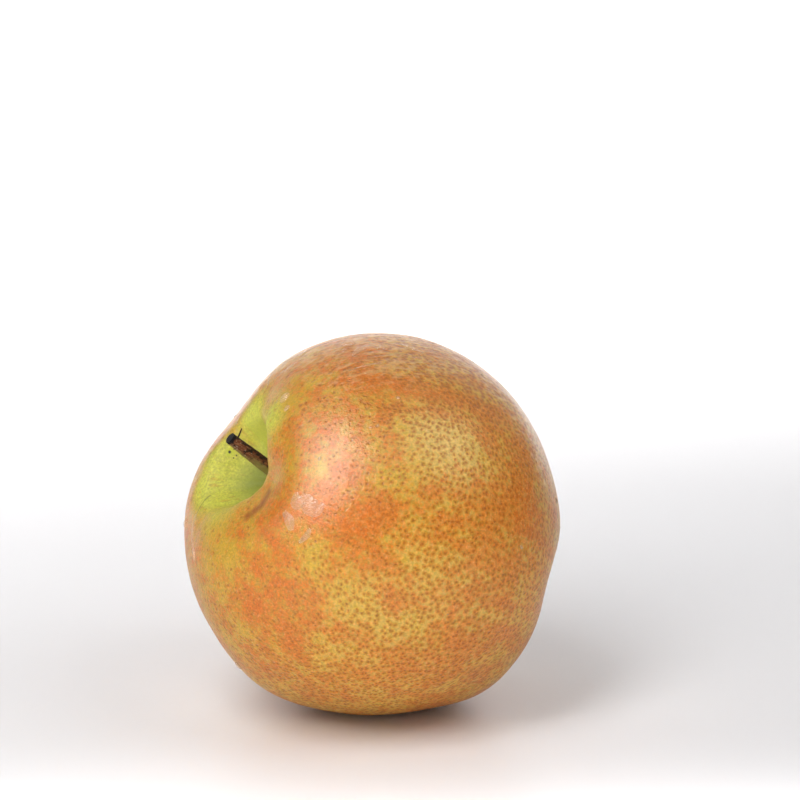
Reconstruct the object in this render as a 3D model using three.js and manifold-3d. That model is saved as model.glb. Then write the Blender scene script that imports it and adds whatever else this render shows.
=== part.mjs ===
// A whole nashi pear with its stem, as picked, lying on its side on a small flat spot.
// Millimetres, +Z up. The origin is the middle of the flat spot that the pear rests on.
// The pear is drawn upright about its own axis first, stem end up, and is then laid down.

import * as THREE from 'three';
import { mergeVertices } from 'three/addons/utils/BufferGeometryUtils.js';
import Module from 'manifold-3d';

const wasm = await Module();
wasm.setup();

const { degToRad } = THREE.MathUtils;

// How the pear lies
const AXIS_RISE = degToRad(26.5);
const FLAT_DEPTH = 0.6;
const GROUND_SIZE = 200;
const GROUND_TOLERANCE = 1e-4;

// Half outline of the upright pear, radius and height over the belt, from the floor of the stem
// cavity up its wall, over the rim and shoulder, down the flank and into the eye basin
const FLOOR_HEIGHT = 26.5;
const RIM_HEIGHT = 38.6;
const BELT_RADIUS = 45.5;
const EYE_HEIGHT = -41.0;
const BASIN_HEIGHT = -36.5;
const HALF_OUTLINE = [
  [0, FLOOR_HEIGHT],
  [3.4, 27.2],
  [6.3, 30.2],
  [9.0, 33.2],
  [12.7, 38.3],
  [18.6, RIM_HEIGHT],
  [26.3, 35.7],
  [35.8, 27.7],
  [42.4, 15.4],
  [BELT_RADIUS, 0],
  [43.6, -14.7],
  [36.5, -27.7],
  [26.1, -37.5],
  [14.2, EYE_HEIGHT],
  [7.1, -39.1],
  [3.0, -36.9],
  [0, BASIN_HEIGHT],
].map(([radius, height]) => new THREE.Vector2(radius, height));

// The cavity sits off the axis: its floor is moved by this much, fading out over the rim
const CAVITY_SHIFT = new THREE.Vector2(-2.5, -1.0);
const CAVITY_REACH = 0.3;
const CAVITY_FADE = 4;

// Broad lobes around the belt, as a share of the radius, each turned by an angle
const LOBES = [
  { count: 2, size: 0.033, turn: degToRad(29) },
  { count: 3, size: 0.029, turn: degToRad(-13) },
];

// Swellings and hollows, as a share of the distance to the middle. Each lies at an angle from the
// stem end and an angle around the axis, where 0 is the resting side and 180 the upper side.
const SWELLINGS = [
  // broad resting side, pressed in
  { fromStem: 107, around: -2, reach: 34, size: -0.071 },
  // belly near the eye
  { fromStem: 150, around: 20, reach: 25, size: 0.053 },
  // shoulder above the far side of the cavity
  { fromStem: 54, around: -153, reach: 14.5, size: -0.04 },
  // notch in the far rim
  { fromStem: 34, around: -121, reach: 12.5, size: -0.077 },
  // far rim
  { fromStem: 28, around: -65, reach: 11.5, size: 0.013 },
  // shoulder under the cavity
  { fromStem: 56, around: -17, reach: 11.5, size: -0.018 },
  // corner at the end of the resting side
  { fromStem: 81, around: 1, reach: 12, size: 0.031 },
  // flat stretch under the belly
  { fromStem: 121, around: 22, reach: 14, size: -0.008 },
  // knob on the lower flank
  { fromStem: 137, around: 39, reach: 9.5, size: 0.024 },
  // waist beside the eye
  { fromStem: 147, around: 104, reach: 9.5, size: -0.046 },
  // upper flank beside the eye
  { fromStem: 138, around: 152, reach: 12.5, size: -0.017 },
  // low lip on the near side of the cavity
  { fromStem: 21, around: 92, reach: 8.5, size: -0.104 },
  // fold below the near lip
  { fromStem: 26, around: 20, reach: 12.5, size: 0.036 },
  // valley that leaves the cavity over the upper rim
  { fromStem: 22, around: -170, reach: 8, size: -0.05 },
];

// Stem, from the bottom of its socket to its cut end, in the upright pear's frame
const STEM_PATH = [
  [-2.3, -1.0, 23.8],
  [-2.9, -1.0, 28.2],
  [-4.4, -1.0, 34.6],
  [-6.15, -1.0, 41.8],
].map((point) => new THREE.Vector3(...point));
const STEM_FOOT_RADIUS = 2.1;
const STEM_NECK_RADIUS = 1.7;
const STEM_TIP_RADIUS = 1.32;
const STEM_FOOT_SHARE = 0.25;
const STEM_RIDGES = 5;
const STEM_RIDGE_SIZE = 0.05;
const STEM_TWIST = 2;
const SOCKET_GAP = 0.4;
const SOCKET_RIM_SHARE = 0.45;

// Fineness of the meshes
const COLUMNS = 56;
const ROW_STEP = 3;
const LEAST_ROWS = 2;
const STEM_SIDES = 20;
const STEM_RINGS = 14;
const SOCKET_RINGS = 8;

// Colours
const SKIN_COLOUR = 0xd08a45;
const SKIN_ROUGHNESS = 0.38;
const BARK_COLOUR = 0x5a3a22;
const BARK_ROUGHNESS = 0.8;

// Closed surface from rings of points, all with the same count, between two end points
function closedRings(rings, firstEnd, lastEnd) {
  const sides = rings[0].length;
  const points = [firstEnd, ...rings.flat(), lastEnd];
  const at = (ring, side) => 1 + ring * sides + (side % sides);
  const last = points.length - 1;
  const faces = [];
  for (let side = 0; side < sides; side++) {
    faces.push(0, at(0, side), at(0, side + 1));
    faces.push(last, at(rings.length - 1, side + 1), at(rings.length - 1, side));
    for (let ring = 0; ring < rings.length - 1; ring++) {
      faces.push(at(ring, side), at(ring + 1, side), at(ring + 1, side + 1));
      faces.push(at(ring, side), at(ring + 1, side + 1), at(ring, side + 1));
    }
  }
  const geometry = new THREE.BufferGeometry().setFromPoints(points);
  geometry.setIndex(faces);
  return geometry;
}

// The outline's own parameters at which the fruit has a row: short spans get few rows, long ones more
function outlineRows() {
  const spans = HALF_OUTLINE.length - 1;
  const rows = [];
  for (let span = 0; span < spans; span++) {
    const length = HALF_OUTLINE[span].distanceTo(HALF_OUTLINE[span + 1]);
    const steps = Math.max(LEAST_ROWS, Math.round(length / ROW_STEP));
    for (let step = 0; step < steps; step++) {
      rows.push((span + step / steps) / spans);
    }
  }
  return rows.slice(1);
}

// A direction from the middle of the upright pear
function direction(fromStem, around) {
  const out = Math.sin(degToRad(fromStem));
  const turned = degToRad(around);
  return new THREE.Vector3(out * Math.cos(turned), out * Math.sin(turned), Math.cos(degToRad(fromStem)));
}

const swellings = SWELLINGS.map(({ fromStem, around, reach, size }) => ({
  place: direction(fromStem, around),
  reach: degToRad(reach),
  size,
}));

// How far out the surface lies towards a place, against the plain turned form
function swelling(towards) {
  let share = 1;
  for (const { place, reach, size } of swellings) {
    const distance = place.distanceTo(towards) / reach;
    share += size * Math.exp(-(distance ** 2) / 2);
  }
  return share;
}

// A point of the skin: along runs from the cavity's floor (0) to the eye (1), around is an angle
function skinPoint(outline, along, around) {
  const { x: radius, y: height } = outline.getPoint(along);
  let lobes = 1;
  for (const { count, size, turn } of LOBES) {
    lobes += size * Math.sin(Math.PI * along) * Math.cos(count * (around - turn));
  }
  const shift = Math.exp(-((along / CAVITY_REACH) ** CAVITY_FADE));
  const point = new THREE.Vector3(
    radius * lobes * Math.cos(around) + CAVITY_SHIFT.x * shift,
    radius * lobes * Math.sin(around) + CAVITY_SHIFT.y * shift,
    height,
  );
  return point.multiplyScalar(swelling(point.clone().normalize()));
}

function uprightFruit() {
  const outline = new THREE.SplineCurve(HALF_OUTLINE);
  const rings = outlineRows().map((along) => {
    const ring = [];
    for (let column = 0; column < COLUMNS; column++) {
      ring.push(skinPoint(outline, along, (column / COLUMNS) * 2 * Math.PI));
    }
    return ring;
  });
  return closedRings(rings, skinPoint(outline, 0, 0), skinPoint(outline, 1, 0));
}

// The stem's radius, flared at its foot
function stemRadius(share) {
  const body = THREE.MathUtils.lerp(STEM_NECK_RADIUS, STEM_TIP_RADIUS, share);
  const flare = Math.max(0, 1 - share / STEM_FOOT_SHARE) ** 2;
  return body + (STEM_FOOT_RADIUS - STEM_NECK_RADIUS) * flare;
}

// A round rod along the stem's path, up to a share of it, wider by a margin, with or without ridges
function stemRod(endShare, ringCount, margin, ridgeSize) {
  const path = new THREE.CatmullRomCurve3(STEM_PATH);
  const start = path.getPoint(0).addScaledVector(path.getTangent(0), -margin);
  const across = new THREE.Vector3(0, 1, 0);
  const rings = [];
  for (let ring = 0; ring <= ringCount; ring++) {
    const share = (ring / ringCount) * endShare;
    const middle = ring === 0 ? start : path.getPoint(share);
    const tangent = path.getTangent(share);
    const side = new THREE.Vector3().crossVectors(across, tangent).normalize();
    const other = new THREE.Vector3().crossVectors(tangent, side);
    const points = [];
    for (let step = 0; step < STEM_SIDES; step++) {
      const angle = (step / STEM_SIDES) * 2 * Math.PI;
      const ridge = 1 + ridgeSize * Math.cos(STEM_RIDGES * angle + STEM_TWIST * share);
      const radius = (stemRadius(share) + margin) * ridge;
      const point = middle.clone();
      point.addScaledVector(side, radius * Math.cos(angle));
      point.addScaledVector(other, radius * Math.sin(angle));
      points.push(point);
    }
    rings.push(points);
  }
  rings.reverse();
  return closedRings(rings, path.getPoint(endShare), start);
}

// Boolean solids from plain geometries and back
function toSolid(geometry) {
  const plain = geometry.clone();
  plain.deleteAttribute('normal');
  plain.deleteAttribute('uv');
  const merged = mergeVertices(plain);
  return new wasm.Manifold(new wasm.Mesh({
    numProp: 3,
    vertProperties: new Float32Array(merged.attributes.position.array),
    triVerts: new Uint32Array(merged.index.array),
  }));
}

function toGeometry(solid) {
  const mesh = solid.getMesh();
  const geometry = new THREE.BufferGeometry();
  geometry.setAttribute('position', new THREE.BufferAttribute(mesh.vertProperties, 3));
  geometry.setIndex(new THREE.BufferAttribute(mesh.triVerts, 1));
  return geometry;
}

// Lays the upright pear down: its stem end points to -X and up, its resting side points down
function layingDown(fruit) {
  const axis = new THREE.Vector3(-Math.cos(AXIS_RISE), 0, Math.sin(AXIS_RISE));
  const restingSide = new THREE.Vector3(-Math.sin(AXIS_RISE), 0, -Math.cos(AXIS_RISE));
  const nearSide = new THREE.Vector3().crossVectors(axis, restingSide);
  const turn = new THREE.Matrix4().makeBasis(restingSide, nearSide, axis);
  const laid = fruit.clone().applyMatrix4(turn);
  laid.computeBoundingBox();
  const lift = -laid.boundingBox.min.z - FLAT_DEPTH;
  return new THREE.Matrix4().makeTranslation(0, 0, lift).multiply(turn);
}

// What lies below the ground plane, for cutting the flat spot
function ground() {
  return new THREE.BoxGeometry(GROUND_SIZE, GROUND_SIZE, GROUND_SIZE).translate(0, 0, -GROUND_SIZE / 2);
}

// Middle of the flat spot's extent
function flatSpotMiddle(geometry) {
  const box = new THREE.Box3();
  const point = new THREE.Vector3();
  for (let index = 0; index < geometry.attributes.position.count; index++) {
    point.fromBufferAttribute(geometry.attributes.position, index);
    if (Math.abs(point.z) < GROUND_TOLERANCE) {
      box.expandByPoint(point);
    }
  }
  return box.getCenter(new THREE.Vector3());
}

function finish(name, geometry, colour, roughness) {
  const flatShaded = geometry.index ? geometry.toNonIndexed() : geometry;
  flatShaded.computeVertexNormals();
  const material = new THREE.MeshStandardMaterial({ color: colour, roughness, metalness: 0 });
  const mesh = new THREE.Mesh(flatShaded, material);
  mesh.name = name;
  return mesh;
}

const upright = uprightFruit();
const laying = layingDown(upright);
const socket = stemRod(SOCKET_RIM_SHARE, SOCKET_RINGS, SOCKET_GAP, 0);
const fruitSolid = toSolid(upright.applyMatrix4(laying))
  .subtract(toSolid(socket.applyMatrix4(laying)))
  .subtract(toSolid(ground()));
const fruitGeometry = toGeometry(fruitSolid);
const middle = flatSpotMiddle(fruitGeometry);
const stemGeometry = stemRod(1, STEM_RINGS, 0, STEM_RIDGE_SIZE).applyMatrix4(laying);

const pear = new THREE.Group();
pear.add(finish('fruit', fruitGeometry, SKIN_COLOUR, SKIN_ROUGHNESS));
pear.add(finish('stem', stemGeometry, BARK_COLOUR, BARK_ROUGHNESS));
pear.position.set(-middle.x, -middle.y, 0);

export default pear;
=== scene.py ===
"""A whole nashi pear with its stem, lying on its side, dressed for a studio picture.

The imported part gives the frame. The fruit and the stem are rebuilt finer on the same form, with skin,
bark and a few drops of water. Lengths are in metres unless a name says otherwise, +Z is up.
"""

import math

import bpy
from bpy.props import FloatProperty, FloatVectorProperty, IntProperty, PointerProperty
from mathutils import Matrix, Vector


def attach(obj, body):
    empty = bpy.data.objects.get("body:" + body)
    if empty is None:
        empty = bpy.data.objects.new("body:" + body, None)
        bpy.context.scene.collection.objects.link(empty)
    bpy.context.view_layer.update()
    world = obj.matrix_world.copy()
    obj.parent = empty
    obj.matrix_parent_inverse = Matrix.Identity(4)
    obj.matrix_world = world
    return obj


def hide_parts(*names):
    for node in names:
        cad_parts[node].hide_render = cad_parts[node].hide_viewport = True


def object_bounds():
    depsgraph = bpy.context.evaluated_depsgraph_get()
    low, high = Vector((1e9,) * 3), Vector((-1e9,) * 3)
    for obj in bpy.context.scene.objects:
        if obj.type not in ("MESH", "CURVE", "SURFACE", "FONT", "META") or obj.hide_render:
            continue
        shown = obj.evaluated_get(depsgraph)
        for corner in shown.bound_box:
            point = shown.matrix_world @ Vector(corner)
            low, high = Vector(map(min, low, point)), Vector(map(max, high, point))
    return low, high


bl_info = {
    "name": "Nashi Pear",
    "version": (1, 0, 0),
    "blender": (4, 5, 0),
    "location": "3D View > Sidebar > Pear",
    "description": "Builds a nashi pear with its stem on a pale floor",
    "category": "Object",
}

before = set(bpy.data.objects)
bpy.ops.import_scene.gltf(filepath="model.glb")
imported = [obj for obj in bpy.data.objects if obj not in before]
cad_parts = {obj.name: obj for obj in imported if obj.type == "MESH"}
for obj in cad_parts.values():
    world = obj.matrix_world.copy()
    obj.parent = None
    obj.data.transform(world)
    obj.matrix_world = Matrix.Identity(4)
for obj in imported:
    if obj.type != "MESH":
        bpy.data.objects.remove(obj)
CAD_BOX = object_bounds()

MM = 0.001
TAU = 2 * math.pi

# How the pear lies: the rise of its axis, and its middle in the part's frame in millimetres
AXIS_RISE = math.radians(26.5)
MIDDLE = (-1.9, 0.53, 44.22)

# Form of the fruit, upright about its own axis, in millimetres and degrees
MEAN_RADIUS = 44

# Half outline: radius and height over the belt, from the cavity's floor over the rim to the eye
HALF_OUTLINE = [
    (0, 26.5),
    (3.4, 27.2),
    (6.3, 30.2),
    (9.0, 33.2),
    (12.7, 38.3),
    (18.6, 38.6),
    (26.3, 35.7),
    (35.8, 27.7),
    (42.4, 15.4),
    (45.5, 0),
    (43.6, -14.7),
    (36.5, -27.7),
    (26.1, -37.5),
    (14.2, -41.0),
    (7.1, -39.1),
    (3.0, -36.9),
    (0, -36.5),
]

# The cavity sits off the axis by this much, fading out over the rim
CAVITY_SHIFT = (-2.5, -1.0)
CAVITY_REACH = 0.3
CAVITY_FADE = 4

# Lobes around the belt: count, share of the radius, turn
LOBES = [(2, 0.033, 29), (3, 0.029, -13)]

# Pleats in the cavity: how many around, and how far they wander. They fade in and out over these shares of
# the way from the cavity's floor to the eye.
PLEATS = (11, 9)
PLEATS_BEGIN = (0.01, 0.08)
PLEATS_END = (0.16, 0.42)

# The eye's corky ring and the creases around it, each with its distance from the axis and its reach
EYE_RING = (3.2 * MM, 0.7 * MM)
EYE_CREASES = (6.5 * MM, 2.2 * MM)
# How many creases are around the eye, and how far they wander
EYE_FOLDS = (9, 6)
# Over these distances from the axis the eye's pit fades out
EYE_PIT = (0.8 * MM, 2.4 * MM)
# Below this height of the upright pear lies the eye, and not the cavity
EYE_HEIGHT = -30 * MM

# Places on the fruit are given by the angle from the stem end and the angle around the axis, where 0 is
# the resting side, 90 the side that faces the camera and 180 the upper side. Each has a reach and a size.
SWELLINGS = {
    "resting side": (107, -2, 34, -0.071),
    "belly": (150, 20, 25, 0.053),
    "far shoulder": (54, -153, 14.5, -0.040),
    "notch in the far rim": (34, -121, 12.5, -0.077),
    "far rim": (28, -65, 11.5, 0.013),
    "lower shoulder": (56, -17, 11.5, -0.018),
    "resting corner": (81, 1, 12, 0.031),
    "flat under the belly": (121, 22, 14, -0.008),
    "knob": (137, 39, 9.5, 0.024),
    "waist": (147, 104, 9.5, -0.046),
    "upper flank": (138, 152, 12.5, -0.017),
    "near lip": (21, 92, 8.5, -0.104),
    "fold": (26, 20, 12.5, 0.036),
    "valley": (22, -170, 8, -0.05),
}

# Blush: positive places are redder, negative ones more golden
BLUSH_PLACES = [
    (59, 97, 10, 0.7),
    (32, 95, 5, 0.1),
    (33, 68, 8, 0.35),
    (46, 56, 10, 0.24),
    (61, 60, 8, 0.2),
    (52, 40, 9, 0.3),
    (66, 40, 9, 0.3),
    (46, 130, 6, 0.1),
    (59, 168, 8, 0.45),
    (54, 149, 7, 0.45),
    (65, 141, 7, 0.5),
    (76, 143, 7, 0.5),
    (87, 140, 8, 0.4),
    (101, 126, 9, 0.35),
    (108, 98, 13, 0.35),
    (104, 62, 11, 0.35),
    (112, 120, 12, 0.35),
    (80, 77, 4, 0.5),
    (49, 74, 3.5, -0.4),
    (54, 73, 3.5, -0.4),
    (61, 72, 4.5, -0.45),
    (70, 71, 5, -0.6),
    (77, 68, 5.5, -0.5),
    (88, 73, 5, -0.35),
    (81, 91, 5, -0.45),
    # The next two golden places are paler than the skin's own yellow patch, so that they also paint part of
    # the second highlight
    (76, 131, 8, -0.9),
    (72, 119, 6, -0.7),
    (83, 122, 5, -0.5),
    (62, 109, 5, -0.4),
    (53, 99, 3.5, -0.35),
    (74, 46, 4, -0.5),
    (69, 159, 5, -0.4),
    (20, 43, 9, -0.5),
    (32, 41, 8, -0.35),
    (51, 23, 10, -0.2),
    (95, 127, 7, -0.45),
    (30, 158, 5, -0.5),
]

# Green: around the stem and up the valley over the cavity's rim
GREEN_PLACES = [
    (0, 0, 12, 0.9),
    (16, -93, 5.4, 0.8),
    (15, -45, 5.6, 0.75),
    (21, -150, 5.6, 0.75),
    (23, 158, 6, 0.5),
    (25, 142, 4, 0.25),
    (30, -160, 5, 0.2),
    (20, 20, 6, 0.2),
]

# Middles of the painted shade at the cavity's foot and of the painted light on its wall, in the upright
# frame, in millimetres
CAVITY_FOOT = (0.6, -2.6, 28.0)
CAVITY_LIT = (-10, -5.5, 32.5)

# The skin is wet and wrinkled over these heights, and along lines between two places, with a reach in
# degrees
# There the wrinkles get painted shade in dark lines and a painted sheen in a pale film
WET_HEIGHTS = (79 * MM, 87 * MM)
WET_RIMS = [((27, -70), (46, -168)), ((72, 179), (97, 163)), ((97, 163), (117, 138))]
WET_REACH = 12
# Over these heights the dots grow wider
UPPER_HEIGHTS = (72 * MM, 80 * MM)

# Noises of the skin, from wide to fine: scale, detail, roughness and weight in the blush
SKIN_NOISES = [
    (32.0, 3.0, 0.55, 0.7),
    (130.0, 4.0, 0.6, 2.2),
    (330.0, 5.0, 0.7, 2.2),
    (800.0, 3.0, 0.65, 1.5),
    (1900.0, 3.0, 0.6, 1.2),
]
# Streaks from the stem to the eye: how often around and along, and their weight in the blush
STREAKS = (9.0, 9.0, 3.5)
STREAK_WEIGHT = 1.3
# Over these shares of the way from the cavity's floor to the eye, the dots and the net begin
DOTS_BEGIN = (0.36, 0.58)
# How far the dots' pattern is bent, and how uneven it is
DOT_BEND = 0.018
DOT_RANDOMNESS = 0.95

# Dark specks in the cavity, the first with a halo: point in the upright frame and reach, in millimetres
SPECKS = [
    (-2.4, -11.4, 35.8, 0.5),
    (-3.4, -11.0, 35.2, 0.25),
    (-1.5, -10.6, 34.6, 0.25),
    (-2.3, -10.5, 34.2, 0.25),
]

SPECK_HALO = 1.6

# A scratch in the cavity, and painted shade along a crease beside the lip: lines between two places, and
# reaches in degrees
SCRATCH = [(16, -39), (20, -24)]
SCRATCH_REACH = 0.4
CREASE_SHADE_LINES = [((25, 87), (26.5, 77)), ((26.5, 77), (25, 64))]
CREASE_REACH = 2.6

# Drops of water: angle from the stem end, angle around, width in millimetres
DROP_PLACES = [
    (30, 158, 3.0),
    (30, 147, 1.8),
    (56, 179, 3.6),
    (53, 174, 1.6),
    (43, 112, 1.2),
    (58, 128, 1.0),
    (56, 127, 0.8),
    (64, 141, 1.1),
    (27, 163, 1.0),
    (29, -36, 2.4),
    (30, 4, 2.2),
    (130, 133, 1.7),
    (67, 4, 2.4),
    (90, 149, 0.9),
]
DROP_SEED = 4

# Trickles and films of water: points with the angle from the stem end, the angle around and the half width
# in millimetres
TRICKLES = [
    [(31, -162, 0.3), (39, -152, 0.8), (44, -154, 1.3), (45, -166, 1.1), (50, -168, 0.9), (54, -169, 0.3)],
    [(33, -164, 0.2), (36, -171, 0.45), (39, -174, 0.4), (42, -175, 0.2)],
    [(54, 167, 0.3), (57, 171, 0.9), (61, 173, 1.0), (65, 170, 0.4)],
    [(51, 157, 0.2), (57, 159, 0.4), (62, 160, 0.3)],
    [(71, 175, 0.3), (74, 172, 0.9), (77, 169, 0.4)],
    [(39, 95, 0.5), (40.5, 91, 1.7), (43, 94, 1.3), (45, 92, 2.2), (47.5, 91, 1.2), (48.5, 95, 0.6)],
    [(38, 84, 0.6), (41, 82, 1.3), (43, 79, 0.7)],
    [(47, 77, 0.4), (48, 81, 0.75), (48, 84, 0.4)],
    [(20, -24, 0.3), (24, -16, 0.9), (27, -6, 0.9), (30, 3, 1.1)],
]
TRICKLE_FLATNESS = 0.2
# Small drops are strewn above this height, at least so far apart
LOWEST_STREWN = 30 * MM
STREWN_APART = 3 * MM
# A drop is this deep and this high, as shares of its width
DROP_SIDES = (0.8, 0.45)
# Rays that look for the skin start this far from the middle of the fruit
RAY_LENGTH = 0.1

# Stem: points of its middle line in the upright frame, and its radius there
STEM_POINTS = [
    (-2.3, -1.0, 23.8, 2.1),
    (-2.9, -1.0, 28.2, 1.7),
    (-4.4, -1.0, 34.6, 1.52),
    (-6.15, -1.0, 41.8, 1.32),
]
# Direction of the stem's upper side in the upright frame, and the middle line's distance that way
STEM_UPPER_SIDE = (-0.971, 0.047, -0.232)
STEM_MIDDLE = -3.8 * MM
# A torn fibre that stands off the stem's cut end
FIBRE_POINTS = [
    (-6.6, -0.35, 40.3, 0.14),
    (-7.9, -0.4, 40.25, 0.12),
    (-9.25, -0.46, 40.29, 0.06),
]

# Camera: the photograph's frame, its focal length and where the middle of the pear falls in it, in pixels
PHOTO_SIDE = 800
PHOTO_FOCAL = 3175
PEAR_PIXEL = (372, 524.5)
CAMERA_AZIMUTH = math.radians(-22.8)
CAMERA_ELEVATION = math.radians(15)
CAMERA_DISTANCE = 0.75
SENSOR = 36
# Level direction from the camera to the pear
FORWARD = Vector((-math.sin(CAMERA_AZIMUTH), math.cos(CAMERA_AZIMUTH), 0))

UP = Vector((0, 0, 1))

# Soft lights on the pear: direction, distance, width and height, whether it gives a highlight, and whether
# it gives more than a highlight
STUDIO_LIGHTS = {
    "main_light": ((-0.52, -0.36, 0.77), 0.7, (0.24, 0.5), True, True),
    "gloss_light": ((-0.67, -0.205, 0.713), 0.7, (0.55, 0.72), True, False),
    "side_light": ((0.47, -0.46, 0.76), 0.8, (0.42, 0.42), True, True),
    "second_gloss": ((0.52, -0.23, 0.82), 0.8, (0.35, 0.35), True, False),
    "front_light": ((-0.2, -0.95, 0.35), 0.9, (0.7, 0.5), False, True),
    "low_light": ((-0.75, -0.6, 0.3), 0.8, (0.5, 0.4), False, True),
}
# How far beyond the pear the backdrop and the far floor are lit; the near floor is lit in front of it
BACKDROP_WAY = 2.0
FAR_FLOOR_WAY = 0.85
NEAR_FLOOR_WAY = -0.125


def metres(lengths):
    """Millimetres as metres."""
    return [length * MM for length in lengths]


class Nodes:
    """Short calls that add and link nodes in one tree."""

    def __init__(self, tree):
        self.tree = tree

    def feed(self, socket, value):
        """Give a socket a plain value, or a link if the value is another node's socket."""
        if isinstance(value, bpy.types.NodeSocket):
            self.tree.links.new(value, socket)
        else:
            socket.default_value = value

    def add(self, kind, inputs=None, **settings):
        """Add a node with its settings and inputs, and return it."""
        node = self.tree.nodes.new(kind)
        for name, value in settings.items():
            setattr(node, name, value)
        for key, value in (inputs or {}).items():
            self.feed(node.inputs[key], value)
        return node

    def form(self, kind, inputs=None, **settings):
        """Add a geometry node, named without its first two words, and return its outputs."""
        return self.add("GeometryNode" + kind, inputs, **settings).outputs

    def math(self, operation, *values, clamp=False):
        """Add a Math node and return its result."""
        inputs = dict(enumerate(values))
        return self.add("ShaderNodeMath", inputs, operation=operation, use_clamp=clamp).outputs[0]

    def times(self, first, *others):
        """The product of numbers."""
        for other in others:
            first = self.math("MULTIPLY", first, other)
        return first

    def plus(self, first, *others):
        """The sum of numbers."""
        for other in others:
            first = self.math("ADD", first, other)
        return first

    def minus(self, first, second):
        """One number less another."""
        return self.math("SUBTRACT", first, second)

    def over(self, first, second):
        """One number divided by another."""
        return self.math("DIVIDE", first, second)

    def times_plus(self, first, factor, more):
        """A number times a factor, plus more."""
        return self.math("MULTIPLY_ADD", first, factor, more)

    def larger(self, first, second):
        """The larger of two numbers."""
        return self.math("MAXIMUM", first, second)

    def vector(self, operation, *values):
        """Add a Vector Math node and return its result."""
        node = self.add("ShaderNodeVectorMath", dict(enumerate(values)), operation=operation)
        is_number = operation in {"LENGTH", "DISTANCE", "DOT_PRODUCT"}
        return node.outputs["Value" if is_number else "Vector"]

    def scaled(self, vector, factor):
        """A vector times a number."""
        node = self.add("ShaderNodeVectorMath", {0: vector, "Scale": factor}, operation="SCALE")
        return node.outputs["Vector"]

    def parts(self, vector):
        """The x, y and z of a vector."""
        return self.add("ShaderNodeSeparateXYZ", {0: vector}).outputs

    def joined(self, x=0.0, y=0.0, z=0.0):
        """A vector from its x, y and z."""
        return self.add("ShaderNodeCombineXYZ", {0: x, 1: y, 2: z}).outputs[0]

    def smooth(self, value, low, high, to_low=0.0, to_high=1.0):
        """A soft step: to_low below low, to_high above high."""
        inputs = {0: value, 1: low, 2: high, 3: to_low, 4: to_high}
        return self.add("ShaderNodeMapRange", inputs, interpolation_type="SMOOTHSTEP").outputs[0]

    def fade(self, value, low, high):
        """A soft step down: 1 below low, 0 above high."""
        return self.smooth(value, low, high, 1.0, 0.0)

    def bell(self, distance):
        """A bell that is 1 at distance 0 and falls to 0.6 at distance 1."""
        return self.math("EXPONENT", self.times(distance, distance, -0.5))

    def noise(self, vector, scale, detail=3.0, roughness=0.5):
        """Noise from 0 to 1."""
        inputs = {"Vector": vector, "Scale": scale, "Detail": detail, "Roughness": roughness}
        return self.add("ShaderNodeTexNoise", inputs).outputs[0]

    def mix(self, factor, first, second, blend="MIX"):
        """Mix two colours, each given plainly or as another node's socket."""
        inputs = {0: factor}
        for key, color in {6: first, 7: second}.items():
            inputs[key] = color if isinstance(color, bpy.types.NodeSocket) else (*color, 1)
        return self.add("ShaderNodeMix", inputs, data_type="RGBA", blend_type=blend).outputs[2]

    def position(self):
        """The place of each point of a geometry."""
        return self.form("InputPosition")[0]

    def normal(self):
        """The direction that each point of a geometry faces."""
        return self.form("InputNormal")[0]

    def store(self, geometry, name, value, kind="FLOAT"):
        """Keep a value on the points of a geometry under a name."""
        inputs = {"Geometry": geometry, "Name": name, "Value": value}
        return self.form("StoreNamedAttribute", inputs, data_type=kind, domain="POINT")[0]

    def stored(self, name, kind="FLOAT"):
        """Read a stored value."""
        return self.form("InputNamedAttribute", {"Name": name}, data_type=kind)[0]

    def moved(self, geometry, **places):
        """Set Position, with Position or Offset."""
        return self.form("SetPosition", {"Geometry": geometry, **places})[0]


def new_tree(name, sockets):
    """A geometry tree with named inputs, where the pear lies and the material among them, and one geometry
    result; returns its nodes and both ends."""
    tree = bpy.data.node_groups.new(name, "GeometryNodeTree")
    sockets = {**sockets, "Axis Rise": "Float", "Middle": "Vector", "Material": "Material"}
    for socket_name, kind in sockets.items():
        tree.interface.new_socket(socket_name, in_out="INPUT", socket_type="NodeSocket" + kind)
    tree.interface.new_socket("Geometry", in_out="OUTPUT", socket_type="NodeSocketGeometry")
    nodes = Nodes(tree)
    given = nodes.add("NodeGroupInput").outputs
    result = nodes.add("NodeGroupOutput").inputs[0]
    return nodes, given, result


def finish_tree(nodes, geometry, material, result):
    """Close a tree: smooth shading, plain geometry and one material."""
    smooth = nodes.form("SetShadeSmooth", {0: geometry})[0]
    plain = nodes.form("RealizeInstances", {0: smooth})[0]
    nodes.feed(result, nodes.form("SetMaterial", {0: plain, "Material": material})[0])


def run_tree(name, tree, values):
    """Run a geometry tree with its inputs, for the pear as it lies, and return a plain mesh object."""
    values = {**values, "Axis Rise": AXIS_RISE, "Middle": metres(MIDDLE)}
    carrier = bpy.data.objects.new(name + "_carrier", bpy.data.meshes.new(name + "_carrier"))
    bpy.context.collection.objects.link(carrier)
    modifier = carrier.modifiers.new("Form", "NODES")
    modifier.node_group = tree
    for item in tree.interface.items_tree:
        if item.item_type == "SOCKET" and item.in_out == "INPUT" and item.name in values:
            modifier[item.identifier] = values[item.name]
    evaluated = carrier.evaluated_get(bpy.context.evaluated_depsgraph_get())
    mesh = bpy.data.meshes.new_from_object(evaluated)
    mesh.name = name
    carrier.modifiers.remove(modifier)
    bpy.data.objects.remove(carrier)
    piece = bpy.data.objects.new(name, mesh)
    bpy.context.collection.objects.link(piece)
    return piece


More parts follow.
